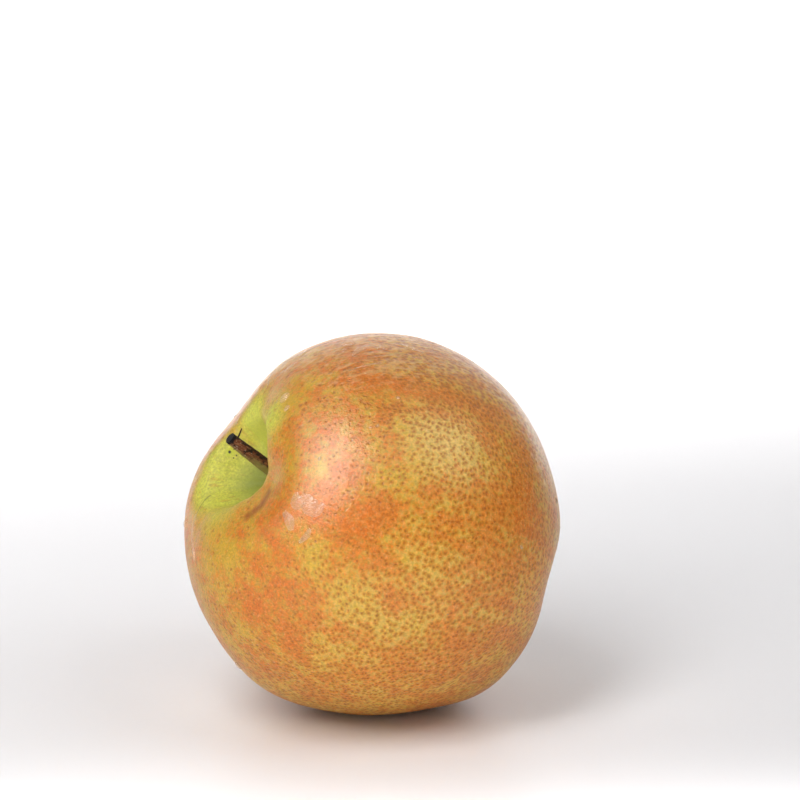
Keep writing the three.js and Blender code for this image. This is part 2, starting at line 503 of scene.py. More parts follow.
def guide_curve(name, splines):
    """A helper curve in millimetres: each spline is a list of (x, y, z) or (x, y, z, radius)."""
    data = bpy.data.curves.new(name, "CURVE")
    data.dimensions = "3D"
    for points in splines:
        spline = data.splines.new("POLY")
        spline.points.add(len(points) - 1)
        for point, (x, y, z, *radius) in zip(spline.points, points):
            point.co = (x * MM, y * MM, z * MM, 1)
            point.radius = radius[0] * MM if radius else 1
    guide = bpy.data.objects.new(name, data)
    bpy.context.collection.objects.link(guide)
    return guide


def direction(from_stem, around):
    """A direction from the middle of the upright pear, from two angles in degrees."""
    out, turn = math.radians(from_stem), math.radians(around)
    return Vector((math.sin(out) * math.cos(turn), math.sin(out) * math.sin(turn), math.cos(out)))


def guide_places(name, places):
    """A helper mesh with one point for each place: its direction, and its reach and size as attributes."""
    mesh = bpy.data.meshes.new(name)
    mesh.from_pydata([direction(from_stem, around) for from_stem, around, _, _ in places], [], [])
    values = {
        "reach": [math.radians(reach) for _, _, reach, _ in places],
        "size": [size for _, _, _, size in places],
    }
    for kind, numbers in values.items():
        mesh.attributes.new(kind, "FLOAT", "POINT").data.foreach_set("value", numbers)
    guide = bpy.data.objects.new(name, mesh)
    bpy.context.collection.objects.link(guide)
    return guide


def remove_guides(*guides):
    """Remove helper objects once the piece made from them stands."""
    for guide in guides:
        bpy.data.objects.remove(guide)


def geometry_of(nodes, guide):
    """The geometry of a helper object given to a tree."""
    return nodes.form("ObjectInfo", {"Object": guide})["Geometry"]


def smooth_curve(nodes, curve, resolution):
    """A curve that passes smoothly through its points."""
    through = nodes.form("CurveSplineType", {0: curve}, spline_type="CATMULL_ROM")[0]
    inputs = {"Geometry": through, "Resolution": resolution}
    return nodes.form("SetSplineResolution", inputs)[0]


def add_places(nodes, geometry, places, name, start):
    """Store under a name: start, plus each place's size times a bell of the angle to that place."""
    geometry = nodes.store(geometry, name, start)
    count = nodes.form("AttributeDomainSize", {0: places})["Point Count"]
    begin = nodes.add("GeometryNodeRepeatInput")
    end = nodes.add("GeometryNodeRepeatOutput")
    begin.pair_with_output(end)
    nodes.feed(begin.inputs["Iterations"], count)
    nodes.feed(begin.inputs["Geometry"], geometry)
    index = begin.outputs["Iteration"]

    def of_place(value, kind):
        inputs = {"Geometry": places, "Value": value, "Index": index}
        return nodes.form("SampleIndex", inputs, data_type=kind, domain="POINT")[0]

    position = nodes.position()
    towards = nodes.vector("NORMALIZE", position)
    apart = nodes.vector("DISTANCE", towards, of_place(position, "FLOAT_VECTOR"))
    bell = nodes.bell(nodes.over(apart, of_place(nodes.stored("reach"), "FLOAT")))
    share = nodes.times_plus(bell, of_place(nodes.stored("size"), "FLOAT"), nodes.stored(name))
    nodes.feed(end.inputs["Geometry"], nodes.store(begin.outputs["Geometry"], name, share))
    return end.outputs["Geometry"]


def skin_grid(nodes, given):
    """A grid whose columns run around the fruit and whose rows run from the cavity's floor to the eye,
    set on the turned outline with its lobes and the shifted cavity. Keeps 'meridian': cosine and sine of
    the angle around, and the way along."""
    outline = smooth_curve(nodes, geometry_of(nodes, given["Outline"]), 32)
    columns = nodes.plus(given["Columns"], 1)
    rows = nodes.plus(given["Rows"], 1)
    inputs = {"Size X": 1.0, "Size Y": 1.0, "Vertices X": columns, "Vertices Y": rows}
    grid = nodes.form("MeshGrid", inputs)["Mesh"]
    place = nodes.vector("ADD", nodes.position(), (0.5, 0.5, 0.0))
    across, down, _ = nodes.parts(place)
    angle = nodes.times(across, TAU)
    index = nodes.form("SplineParameter")["Index"]
    along_outline = nodes.over(index, len(HALF_OUTLINE) - 1)
    inputs = {"Curves": outline, "Value": along_outline, "Factor": down}
    sample = nodes.add("GeometryNodeSampleCurve", inputs, mode="FACTOR")
    along = sample.outputs["Value"]
    radius, _, height = nodes.parts(sample.outputs["Position"])
    around = (nodes.math("COSINE", angle), nodes.math("SINE", angle))
    grid = nodes.store(grid, "meridian", nodes.joined(*around, along), "FLOAT_VECTOR")

    lobes = 1.0
    fade = nodes.math("SINE", nodes.times(along, math.pi))
    for count, size, turn in LOBES:
        wave = nodes.math("COSINE", nodes.times_plus(angle, count, -count * math.radians(turn)))
        lobes = nodes.times_plus(nodes.times(wave, size), fade, lobes)
    radius = nodes.times(radius, lobes)
    depth = nodes.math("POWER", nodes.over(along, CAVITY_REACH), CAVITY_FADE)
    shift = nodes.math("EXPONENT", nodes.times(depth, -1.0))
    sides = [
        nodes.times_plus(shift, most * MM, nodes.times(radius, part))
        for most, part in zip(CAVITY_SHIFT, around)
    ]
    grid = nodes.moved(grid, Position=nodes.joined(*sides, height))
    closed = nodes.form("MergeByDistance", {"Geometry": grid, "Distance": 0.001 * MM})[0]
    # The grid's faces point inwards once it is closed
    return nodes.form("FlipFaces", {"Mesh": closed})[0]


def folds(nodes, angle, wander, count, bend):
    """Waves around the axis, as many as count, that wander off the straight."""
    return nodes.math("SINE", nodes.times_plus(angle, count, nodes.times(wander, bend)))


def skin_relief(nodes, given, geometry):
    """Fine relief on the upright fruit: slight unevenness, pleats in the cavity and the corky eye."""
    position = nodes.position()
    normal = nodes.normal()
    cosine, sine, along = nodes.parts(nodes.stored("meridian", "FLOAT_VECTOR"))
    angle = nodes.math("ARCTAN2", sine, cosine)

    uneven = nodes.minus(nodes.noise(position, 55.0, 4.0, 0.55), 0.5)
    height = nodes.times(uneven, given["Unevenness"])

    wander = nodes.noise(nodes.stored("meridian", "FLOAT_VECTOR"), 2.2, 2.0)
    begin = nodes.smooth(along, *PLEATS_BEGIN)
    pleats = nodes.times(folds(nodes, angle, wander, *PLEATS), begin, nodes.fade(along, *PLEATS_END))
    height = nodes.times_plus(pleats, given["Pleat Depth"], height)

    x, y, z = nodes.parts(position)
    from_axis = nodes.vector("LENGTH", nodes.joined(x, y, 0.0))
    at_eye = nodes.math("LESS_THAN", z, EYE_HEIGHT)
    ring, crease_zone = (
        nodes.bell(nodes.over(nodes.minus(from_axis, distance), reach))
        for distance, reach in (EYE_RING, EYE_CREASES)
    )
    creases = folds(nodes, angle, wander, *EYE_FOLDS)
    cork = nodes.times_plus(nodes.noise(position, 900.0, 3.0), 1.6, 0.2)
    pit = nodes.smooth(from_axis, *EYE_PIT, -1.6, 0.0)
    eye = nodes.plus(nodes.times(ring, cork), nodes.times(creases, crease_zone, 0.45), pit)
    height = nodes.times_plus(nodes.times(eye, at_eye), given["Eye Relief"], height)
    return nodes.moved(geometry, Offset=nodes.scaled(normal, height))


def lay_down(nodes, geometry, rise):
    """Turn an upright geometry to its lying place about the middle of the pear."""
    turn = nodes.minus(math.pi / 2, rise)
    rotation = nodes.joined(0.0, turn, math.pi)
    return nodes.form("Transform", {"Geometry": geometry, "Rotation": rotation})[0]


def fruit_tree():
    """The fruit's geometry tree."""
    nodes, given, result = new_tree("Fruit form", {
        "Outline": "Object",
        "Swellings": "Object",
        "Blush Places": "Object",
        "Green Places": "Object",
        "Columns": "Int",
        "Rows": "Int",
        "Unevenness": "Float",
        "Pleat Depth": "Float",
        "Eye Relief": "Float",
    })
    geometry = skin_grid(nodes, given)
    geometry = add_places(nodes, geometry, geometry_of(nodes, given["Swellings"]), "swelling", 1.0)
    position = nodes.position()
    geometry = nodes.moved(geometry, Position=nodes.scaled(position, nodes.stored("swelling")))
    geometry = add_places(nodes, geometry, geometry_of(nodes, given["Blush Places"]), "blush", 0.0)
    geometry = add_places(nodes, geometry, geometry_of(nodes, given["Green Places"]), "green", 0.0)
    geometry = nodes.store(geometry, "upright", position, "FLOAT_VECTOR")
    geometry = skin_relief(nodes, given, geometry)
    geometry = lay_down(nodes, geometry, given["Axis Rise"])
    geometry = nodes.moved(geometry, Offset=given["Middle"])
    x, y, z = nodes.parts(nodes.position())
    geometry = nodes.moved(geometry, Position=nodes.joined(x, y, nodes.larger(z, 0.0)))
    finish_tree(nodes, geometry, given["Material"], result)
    return nodes.tree


def stem_tree():
    """The stem's geometry tree: a rod along each guide line, ridged and roughened as bark."""
    nodes, given, result = new_tree("Stem form", {
        "Lines": "Object",
        "Rings": "Int",
        "Sides": "Int",
        "Ridge Height": "Float",
        "Bark Height": "Float",
    })
    line = smooth_curve(nodes, geometry_of(nodes, given["Lines"]), 32)
    line = nodes.form("ResampleCurve", {"Curve": line, "Count": given["Rings"]})[0]
    along = nodes.form("SplineParameter")["Factor"]
    line = nodes.store(line, "along", along)
    inputs = {"Resolution": given["Sides"], "Radius": 1.0}
    round_line = nodes.add("GeometryNodeCurvePrimitiveCircle", inputs)
    rod = rod_along(nodes, line, nodes.store(round_line.outputs[0], "around", along))

    position = nodes.position()
    normal = nodes.normal()
    angle = nodes.times(nodes.stored("around"), TAU)
    twist = nodes.times_plus(nodes.stored("along"), 2.0, nodes.times(angle, 5.0))
    ridges = nodes.times(nodes.math("COSINE", twist), given["Ridge Height"])
    stretched = nodes.vector("MULTIPLY", position, (1.0, 1.0, 0.22))
    bark = nodes.minus(nodes.noise(stretched, 2600.0, 4.0, 0.6), 0.5)
    height = nodes.times_plus(bark, given["Bark Height"], ridges)
    from_half = nodes.math("ABSOLUTE", nodes.minus(nodes.stored("along"), 0.5))
    height = nodes.times(height, nodes.math("LESS_THAN", from_half, 0.499))
    rod = nodes.moved(rod, Offset=nodes.scaled(normal, height))
    rod = nodes.store(rod, "upright", position, "FLOAT_VECTOR")
    rod = lay_down(nodes, rod, given["Axis Rise"])
    rod = nodes.moved(rod, Offset=given["Middle"])
    finish_tree(nodes, rod, given["Material"], result)
    return nodes.tree


def skin_below(nodes, given, skin, point):
    """Where a ray through a point to the middle of the fruit meets the skin, and the way that the skin
    faces there. The point is given from the middle."""
    outwards = nodes.vector("NORMALIZE", point)
    start = nodes.vector("ADD", nodes.scaled(outwards, RAY_LENGTH), given["Middle"])
    inputs = {"Target Geometry": skin, "Source Position": start, "Ray Length": RAY_LENGTH}
    inputs["Ray Direction"] = nodes.scaled(outwards, -1.0)
    ray = nodes.add("GeometryNodeRaycast", inputs)
    return ray.outputs["Hit Position"], ray.outputs["Hit Normal"]


def rod_along(nodes, line, profile):
    """A rod with closed ends along a curve, as thick as the curve's radius."""
    radius = nodes.form("InputRadius")[0]
    inputs = {"Curve": line, "Profile Curve": profile, "Scale": radius, "Fill Caps": True}
    return nodes.form("CurveToMesh", inputs)[0]


def trickles(nodes, given, skin):
    """Rods along the trickles' lines, laid on the skin and pressed flat against it."""
    line = smooth_curve(nodes, geometry_of(nodes, given["Trickles"]), 16)
    line = lay_down(nodes, line, given["Axis Rise"])
    position = nodes.position()
    hit, facing = skin_below(nodes, given, skin, position)
    hit = nodes.vector("SUBTRACT", hit, given["Middle"])
    line = nodes.moved(line, Position=hit)
    profile = nodes.form("CurvePrimitiveCircle", {"Resolution": 20, "Radius": 1.0})[0]
    rods = rod_along(nodes, line, profile)
    proud = nodes.vector("DOT_PRODUCT", nodes.vector("SUBTRACT", position, hit), facing)
    flat = nodes.times(proud, given["Flatness"])
    rods = nodes.moved(rods, Position=nodes.vector("ADD", hit, nodes.scaled(facing, flat)))
    return nodes.moved(rods, Offset=given["Middle"])


def drop_tree():
    """The geometry tree of the water: a flat dome at each place and at scattered points, and trickles."""
    nodes, given, result = new_tree("Drop form", {
        "Fruit": "Object",
        "Places": "Object",
        "Trickles": "Object",
        "Flatness": "Float",
        "Density": "Float",
        "Least Width": "Float",
        "Most Width": "Float",
        "Seed": "Int",
    })
    skin = geometry_of(nodes, given["Fruit"])
    position = nodes.position()
    places = geometry_of(nodes, given["Places"])
    points = nodes.form("MeshToPoints", {"Mesh": places})[0]
    points = lay_down(nodes, points, given["Axis Rise"])
    hit, facing = skin_below(nodes, given, skin, position)
    points = nodes.store(points, "facing", facing, "FLOAT_VECTOR")
    points = nodes.store(points, "width", nodes.times(nodes.stored("size"), MM))
    points = nodes.moved(points, Position=hit)

    upper = nodes.math("GREATER_THAN", nodes.parts(position)[2], LOWEST_STREWN)
    inputs = {"Mesh": skin, "Selection": upper, "Density Max": given["Density"], "Seed": given["Seed"]}
    inputs["Distance Min"] = STREWN_APART
    scatter = nodes.add("GeometryNodeDistributePointsOnFaces", inputs, distribute_method="POISSON")
    strewn = nodes.store(scatter.outputs["Points"], "facing", scatter.outputs["Normal"], "FLOAT_VECTOR")
    inputs = {2: given["Least Width"], 3: given["Most Width"], "Seed": given["Seed"]}
    random_width = nodes.add("FunctionNodeRandomValue", inputs, data_type="FLOAT").outputs[1]
    strewn = nodes.store(strewn, "width", random_width)
    join = nodes.add("GeometryNodeJoinGeometry")
    nodes.feed(join.inputs[0], points)
    nodes.feed(join.inputs[0], strewn)

    dome = nodes.form("MeshUVSphere", {"Segments": 24, "Rings": 14, "Radius": 0.5})["Mesh"]
    inputs = {"Vector": nodes.stored("facing", "FLOAT_VECTOR")}
    turn = nodes.add("FunctionNodeAlignEulerToVector", inputs, axis="Z").outputs[0]
    width = nodes.stored("width")
    scale = nodes.joined(width, *(nodes.times(width, share) for share in DROP_SIDES))
    inputs = {"Points": join.outputs[0], "Instance": dome, "Rotation": turn, "Scale": scale}
    domes = nodes.form("InstanceOnPoints", inputs)[0]
    water = nodes.add("GeometryNodeJoinGeometry")
    nodes.feed(water.inputs[0], domes)
    nodes.feed(water.inputs[0], trickles(nodes, given, skin))
    finish_tree(nodes, water.outputs[0], given["Material"], result)
    return nodes.tree


def new_material(name, fixed):
    """A material whose shader has some fixed values; returns it, its nodes and its shader node."""
    material = bpy.data.materials.new(name)
    material.use_nodes = True
    shader = material.node_tree.nodes["Principled BSDF"]
    for socket, value in fixed.items():
        shader.inputs[socket].default_value = value
    return material, Nodes(material.node_tree), shader


def add_bump(nodes, shader, height, distance, strength=0.5):
    """Raise a shader's surface by a pattern of heights."""
    inputs = {"Strength": strength, "Distance": distance, "Height": height}
    nodes.feed(shader.inputs["Normal"], nodes.add("ShaderNodeBump", inputs).outputs[0])


def painted(nodes, name):
    """A material's view of a stored value: its vector and its number."""
    node = nodes.add("ShaderNodeAttribute", attribute_name=name)
    return node.outputs["Vector"], node.outputs["Fac"]


def about(nodes, value, weight):
    """A value from 0 to 1 turned into one around zero, times a weight."""
    return nodes.times_plus(value, weight, -0.5 * weight)


def near_line(nodes, towards, start, end, reach):
    """A soft line between two directions: 1 on it, 0 beyond its reach in degrees."""
    first, last = direction(*start), direction(*end)
    step = last - first
    offset = nodes.vector("SUBTRACT", towards, first)
    share = nodes.math("DIVIDE", nodes.vector("DOT_PRODUCT", offset, step), step.length_squared, clamp=True)
    nearest = nodes.vector("SUBTRACT", offset, nodes.scaled(tuple(step), share))
    return nodes.fade(nodes.vector("LENGTH", nearest), 0.0, math.radians(reach))


def near_lines(nodes, towards, lines, reach):
    """Several soft lines, each between two directions."""
    found = 0.0
    for start, end in lines:
        found = nodes.larger(found, near_line(nodes, towards, start, end, reach))
    return found


def near_point(nodes, upright, point, reach):
    """A soft spot around a point in millimetres: 1 in its middle, 0 beyond its reach in millimetres."""
    apart = nodes.vector("DISTANCE", upright, metres(point))
    return nodes.fade(apart, reach * 0.4 * MM, reach * MM)


def corky_eye(nodes, upright):
    """Near 1 on the corky eye, fading to 0 where its radial cracks end."""
    x, y, _ = nodes.parts(upright)
    out = nodes.vector("LENGTH", nodes.joined(x, y, 0.0))
    angle = nodes.math("ARCTAN2", y, x)
    around = nodes.joined(nodes.math("COSINE", angle), nodes.math("SINE", angle), 0.0)
    cracks = nodes.noise(around, 4.5, 3.0)
    edge = nodes.times_plus(cracks, 5.5 * MM, 2.4 * MM)
    return nodes.smooth(nodes.minus(out, edge), -0.9 * MM, 0.5 * MM, 0.9, 0.0)


def six_sides(nodes, towards):
    """Flat coordinates on the skin: the angles across each of six sides of a cube around the pear, so
    that a flat pattern covers it evenly."""
    x, y, z = nodes.parts(towards)
    across_x, across_y, across_z = (nodes.math("ABSOLUTE", part) for part in (x, y, z))
    most = nodes.larger(nodes.larger(across_x, across_y), across_z)
    almost = nodes.times(most, 0.99999)
    is_x, is_y = (nodes.math("GREATER_THAN", across, almost) for across in (across_x, across_y))

    def choose(flag, if_set, if_not):
        gap = nodes.minus(if_set, if_not)
        return nodes.times_plus(flag, gap, if_not)

    first = choose(is_x, y, x)
    second = choose(nodes.larger(is_x, is_y), z, y)
    side = nodes.vector("SIGN", nodes.joined(x, y, z))
    facing = choose(is_x, nodes.parts(side)[0], choose(is_y, nodes.parts(side)[1], nodes.parts(side)[2]))
    # Each side has a number of its own, so that no two sides have the same pattern
    number = nodes.plus(nodes.times_plus(is_y, 3.0, facing), nodes.times(is_x, 6.0))
    first = nodes.math("ARCTANGENT", nodes.over(first, most))
    second = nodes.math("ARCTANGENT", nodes.over(second, most))
    return nodes.joined(nodes.times_plus(number, 7.0, first), second, 0.0)


def skin_material(look):
    """Golden skin with green around the stem, an orange blush in patches and streaks, and brown dots, with
    painted shade and light in the cavity, painted shade at the lip's crease and in wet wrinkles, and a
    painted sheen on the wet film.
    """
    material, nodes, shader = new_material("Pear skin", {
        "Specular IOR Level": 0.34,
        "Subsurface Weight": 0.15,
        "Subsurface Radius": (1.0, 0.5, 0.2),
        "Subsurface Scale": 2 * MM,
        "Coat Roughness": 0.33,
    })
    place = nodes.add("ShaderNodeTexCoord").outputs["Object"]
    height = nodes.parts(place)[2]
    meridian = painted(nodes, "meridian")[0]
    along = nodes.parts(meridian)[2]
    upright = painted(nodes, "upright")[0]
    towards = nodes.vector("NORMALIZE", upright)

    # Gold and blush, and green around the stem
    blush_places = painted(nodes, "blush")[1]
    streaks = nodes.noise(nodes.vector("MULTIPLY", meridian, STREAKS), 1.0, 4.0, 0.6)
    blush = nodes.plus(blush_places, about(nodes, streaks, STREAK_WEIGHT))
    noises = []
    for scale, detail, roughness, weight in SKIN_NOISES:
        noises.append(nodes.noise(place, scale, detail, roughness))
        blush = nodes.plus(blush, about(nodes, noises[-1], weight))
    _, cloud, mottle, patches, grain = noises
    blush = nodes.smooth(blush, -0.75, 0.75)
    color = nodes.mix(blush, look.gold, look.blush)
    green = nodes.plus(painted(nodes, "green")[1], about(nodes, cloud, 0.5), about(nodes, mottle, 0.4))
    green = nodes.smooth(green, 0.15, 0.8)
    color = nodes.mix(green, color, look.green)
    ungreen = nodes.times_plus(green, -0.6, 1.0)

    # Dots with their rings, and the pale net between them, fading out towards the stem
    inputs = {"Vector": place, "Scale": 1100.0, "Detail": 1.0}
    bend = nodes.add("ShaderNodeTexNoise", inputs).outputs["Color"]
    bend = nodes.scaled(nodes.vector("SUBTRACT", bend, (0.5, 0.5, 0.5)), DOT_BEND)
    flat = nodes.vector("ADD", six_sides(nodes, towards), bend)
    inputs = {"Vector": flat, "Scale": MEAN_RADIUS * MM / look.dot_spacing, "Randomness": DOT_RANDOMNESS}
    dots = nodes.add("ShaderNodeTexVoronoi", inputs, voronoi_dimensions="2D").outputs
    chance, size, _ = nodes.parts(dots["Color"])
    clear = nodes.smooth(along, *DOTS_BEGIN)
    shown = nodes.minus(nodes.times_plus(clear, 0.88, 0.2), chance)
    shown = nodes.smooth(nodes.plus(shown, about(nodes, cloud, 0.8)), -0.12, 0.2)
    shown = nodes.times(shown, nodes.smooth(blush_places, 0.38, 0.62, 1.0, 0.2), ungreen)
    upper = nodes.smooth(height, *UPPER_HEIGHTS)
    radius = nodes.times_plus(upper, 0.45, nodes.times_plus(size, 0.4, 0.8))
    from_middle = nodes.over(dots["Distance"], radius)
    ratio = look.dot_width / look.dot_spacing / 2
    dot = nodes.times(nodes.fade(from_middle, ratio * 0.1, ratio * 1.15), shown)
    ring = nodes.fade(from_middle, ratio * 0.6, ratio * 2.4)
    ring = nodes.times(ring, shown, nodes.times_plus(upper, 0.3, 0.6))
    net = nodes.smooth(nodes.plus(dots["Distance"], about(nodes, patches, 0.5)), 0.25, 0.6)
    net = nodes.times(net, clear, ungreen, 0.55, nodes.smooth(blush, 0.3, 0.8, 1.0, 0.45))
    color = nodes.mix(net, color, look.net)
    color = nodes.mix(ring, color, look.dot_rings)
    color = nodes.mix(nodes.times(dot, 0.68), color, nodes.mix(blush, look.dots, look.red_dots))

    # Fine pale flecks, light and dark grain, and painted shade along the crease beside the lip
    pale = nodes.smooth(nodes.noise(place, 1400.0, 3.0, 0.7), 0.5, 0.75)
    pale = nodes.times(pale, ungreen, nodes.times_plus(dot, -0.4, 0.4))
    color = nodes.mix(pale, color, look.pale)
    shade = nodes.times_plus(patches, 0.4, nodes.times_plus(grain, 1.3, 0.15))
    color = nodes.mix(1.0, color, nodes.joined(shade, shade, shade), "MULTIPLY")
    crease_shade = near_lines(nodes, towards, CREASE_SHADE_LINES, CREASE_REACH)
    crease_shade = nodes.times(crease_shade, nodes.times_plus(patches, 0.9, 0.35))
    color = nodes.mix(crease_shade, color, look.crease_shade)

    # Painted shade in the cavity: a deep green at its foot, with dark rays that run up its wall; then
    # painted light in a pale green
    foot = nodes.vector("DISTANCE", upright, metres(CAVITY_FOOT))
    shade_rays = nodes.noise(nodes.vector("MULTIPLY", meridian, (13.0, 13.0, 1.5)), 1.0, 2.0)
    shade_rays = nodes.times(nodes.smooth(shade_rays, 0.48, 0.6), nodes.smooth(foot, 5 * MM, 13 * MM, 0.6, 0.0))
    foot_shade = nodes.larger(nodes.smooth(foot, 3 * MM, 11 * MM, 0.85, 0.0), shade_rays)
    color = nodes.mix(nodes.times(foot_shade, green), color, look.foot_shade_green)
    # Painted light: a paler green on the wall, where it lies in shade
    wall_light = nodes.vector("DISTANCE", upright, metres(CAVITY_LIT))
    wall_light = nodes.smooth(wall_light, 0.0, 9 * MM, 0.8, 0.0)
    color = nodes.mix(nodes.times(wall_light, green), color, look.lit_green)

    # Where the skin is wet and wrinkled: painted shade in dark lines along the wrinkles, and a painted
    # sheen in a pale film
    wet = nodes.larger(nodes.smooth(height, *WET_HEIGHTS), near_lines(nodes, towards, WET_RIMS, WET_REACH))
    wrinkles = nodes.noise(nodes.vector("MULTIPLY", place, (0.7, 1.6, 1.6)), 420.0, 4.0, 0.6)
    lines = nodes.times(wet, nodes.smooth(wrinkles, 0.36, 0.42, 0.4, 0.0), ungreen)
    color = nodes.mix(lines, color, look.crease_shade)
    film_sheen = nodes.times(wet, nodes.smooth(wrinkles, 0.48, 0.64, 0.0, 0.55), ungreen)
    color = nodes.mix(film_sheen, color, look.film_sheen)

    # Cork on the eye, and single marks in the cavity
    eye = nodes.times(nodes.smooth(along, 0.85, 0.86), corky_eye(nodes, upright))
    cork = nodes.mix(nodes.smooth(patches, 0.4, 0.6), look.cork, look.dark_cork)
    color = nodes.mix(eye, color, cork)
    halo = near_point(nodes, upright, SPECKS[0][:3], SPECK_HALO)
    color = nodes.mix(nodes.times(halo, 0.5), color, look.speck_halo)
    marks = nodes.times(near_line(nodes, towards, *SCRATCH, SCRATCH_REACH), 0.6)
    for *point, reach in SPECKS:
        marks = nodes.larger(marks, near_point(nodes, upright, point, reach))
    nodes.feed(shader.inputs["Base Color"], nodes.mix(marks, color, look.marks))

    relief = nodes.times_plus(dot, -0.6, nodes.times_plus(patches, 1.2, grain))
    add_bump(nodes, shader, nodes.times_plus(nodes.times(wet, wrinkles), 8.0, relief), 0.22 * MM)
    rough = nodes.times_plus(mottle, 0.2, look.roughness - 0.1)
    nodes.feed(shader.inputs["Roughness"], nodes.times_plus(nodes.larger(green, eye), 0.35, rough))
    nodes.feed(shader.inputs["Coat Weight"], nodes.times_plus(green, -0.1, 0.1))
    return material


def bark_material(look):
    """Brown bark with dark flecks and pale fibres, greenish at the foot and near black at the cut end."""
    material, nodes, shader = new_material("Stem bark", {"Roughness": 0.6, "Specular IOR Level": 0.2})
    upright = painted(nodes, "upright")[0]
    along = painted(nodes, "along")[1]
    fibres = nodes.noise(nodes.vector("MULTIPLY", upright, (1.0, 1.0, 0.16)), 3200.0, 4.0, 0.7)
    flecks = nodes.noise(nodes.vector("MULTIPLY", upright, (1.0, 1.0, 0.45)), 1500.0, 3.0, 0.6)
    color = nodes.mix(nodes.smooth(fibres, 0.46, 0.7), look.bark, look.fibres)
    color = nodes.mix(nodes.smooth(flecks, 0.5, 0.62), color, look.flecks)

    side = nodes.minus(nodes.vector("DOT_PRODUCT", upright, STEM_UPPER_SIDE), STEM_MIDDLE)
    side = nodes.plus(side, about(nodes, flecks, 1.6 * MM))
    foot = nodes.fade(along, 0.45, 0.72)
    lower = nodes.fade(side, -0.7 * MM, 0.3 * MM)
    lowest = nodes.smooth(side, -1.4 * MM, -0.9 * MM, 0.7, 0.0)
    olive = nodes.larger(nodes.times(foot, lower), lowest)
    color = nodes.mix(nodes.times(olive, 0.85), color, look.foot)
    specks = nodes.smooth(nodes.noise(upright, 1800.0, 2.0), 0.6, 0.68)
    specks = nodes.times(specks, nodes.smooth(along, 0.6, 0.7, 0.1, 0.7))
    color = nodes.mix(specks, color, look.specks)
    color = nodes.mix(nodes.smooth(side, 0.55 * MM, 1.2 * MM, 0.0, 0.85), color, look.flecks)
    color = nodes.mix(nodes.smooth(along, 0.945, 0.97), color, look.cut_end)
    nodes.feed(shader.inputs["Base Color"], color)
    add_bump(nodes, shader, fibres, 0.1 * MM)
    return material


def water_material():
    """Clear water: the skin shows through, with a sharp gloss on small waves, and a pale warm base colour
    that paints light into the drops.
    """
    # The pale warm base colour is painted light: it keeps the drops and their rims bright where they would
    # look dark
    fixed = {"Base Color": (1.0, 0.7, 0.42, 1), "Roughness": 0.08, "IOR": 1.5, "Alpha": 0.3}
    material, nodes, shader = new_material("Water", fixed)
    waves = nodes.noise(nodes.add("ShaderNodeTexCoord").outputs["Object"], 900.0, 2.0)
    add_bump(nodes, shader, waves, 0.4 * MM, 0.6)
    return material


def floor_material(look):
    """Pale, slightly glossy board."""
    fixed = {"Base Color": (*look.floor, 1), "Roughness": 0.45, "Specular IOR Level": 0.3}
    return new_material("Pale board", fixed)[0]


def color_value(name, description, default):
    """A colour that a user may change."""
    return FloatVectorProperty(name=name, description=description, default=default, subtype="COLOR")


def length_value(name, description, default):
    """A length that a user may change, with its default in millimetres."""
    return FloatProperty(name=name, description=description, default=default * MM, unit="LENGTH")


def power_value(name, description, default):
    """A light's power that a user may change, with its default in watts."""
    return FloatProperty(name=name, description=description, default=default, unit="POWER")


class PearFruitSettings(bpy.types.PropertyGroup):
    """Sizes and colours of the fruit."""

    columns: IntProperty(name="Columns", description="Faces around the fruit", default=360, min=24)
    rows: IntProperty(name="Rows", description="Faces from the stem end to the eye", default=260, min=24)
    unevenness: length_value("Unevenness", "Height of the slight waves of the skin", 0.6)
    pleat_depth: length_value("Pleat Depth", "Depth of the pleats around the stem", 0.12)
    eye_relief: length_value("Eye Relief", "Height of the corky ring at the eye", 0.7)
    dot_spacing: length_value("Dot Spacing", "Distance between the skin's dots", 1.4)
    dot_width: length_value("Dot Width", "Width of the skin's dots", 0.72)
    roughness: FloatProperty(
        name="Roughness", description="Roughness of the skin", default=0.34, subtype="FACTOR"
    )
    gold: color_value("Gold", "Ground colour of the skin", (0.63, 0.383, 0.036))
    blush: color_value("Blush", "Orange red of the blush", (0.64, 0.162, 0.013))
    green: color_value("Green", "Green around the stem", (0.59, 0.58, 0.06))
    # The next two colours paint shade at the stem's foot and light on the cavity's shaded wall
    foot_shade_green: color_value("Deep Green", "Green at the stem's foot", (0.3, 0.34, 0.04))
    lit_green: color_value("Pale Green", "Palest green of the cavity", (0.78, 0.8, 0.13))
    # This colour paints a sheen on the wet, wrinkled film
    film_sheen: color_value("Film", "Pale wrinkles of the wet skin", (0.81, 0.51, 0.21))
    net: color_value("Net", "Pale net between the dots", (0.75, 0.49, 0.1))
    pale: color_value("Pale", "Fine pale flecks of the skin", (0.86, 0.48, 0.17))
    dots: color_value("Dots", "Brown of the dots on gold", (0.36, 0.1, 0.006))
    dot_rings: color_value("Dot Rings", "Orange brown around the dots", (0.52, 0.18, 0.01))
    red_dots: color_value("Red Dots", "Brown of the dots on the blush", (0.36, 0.075, 0.006))
    # This colour paints shade along the crease at the lip and in the wet wrinkles
    crease_shade: color_value("Crease", "Red brown of the crease at the lip", (0.33, 0.08, 0.012))
    cork: color_value("Cork", "Brown of the corky eye", (0.27, 0.15, 0.06))
    dark_cork: color_value("Dark Cork", "Dark cracks of the eye", (0.08, 0.045, 0.02))
    marks: color_value("Marks", "Dark specks and the scratch in the cavity", (0.03, 0.035, 0.01))
    speck_halo: color_value("Speck Halo", "Olive green around the widest speck", (0.5, 0.55, 0.02))


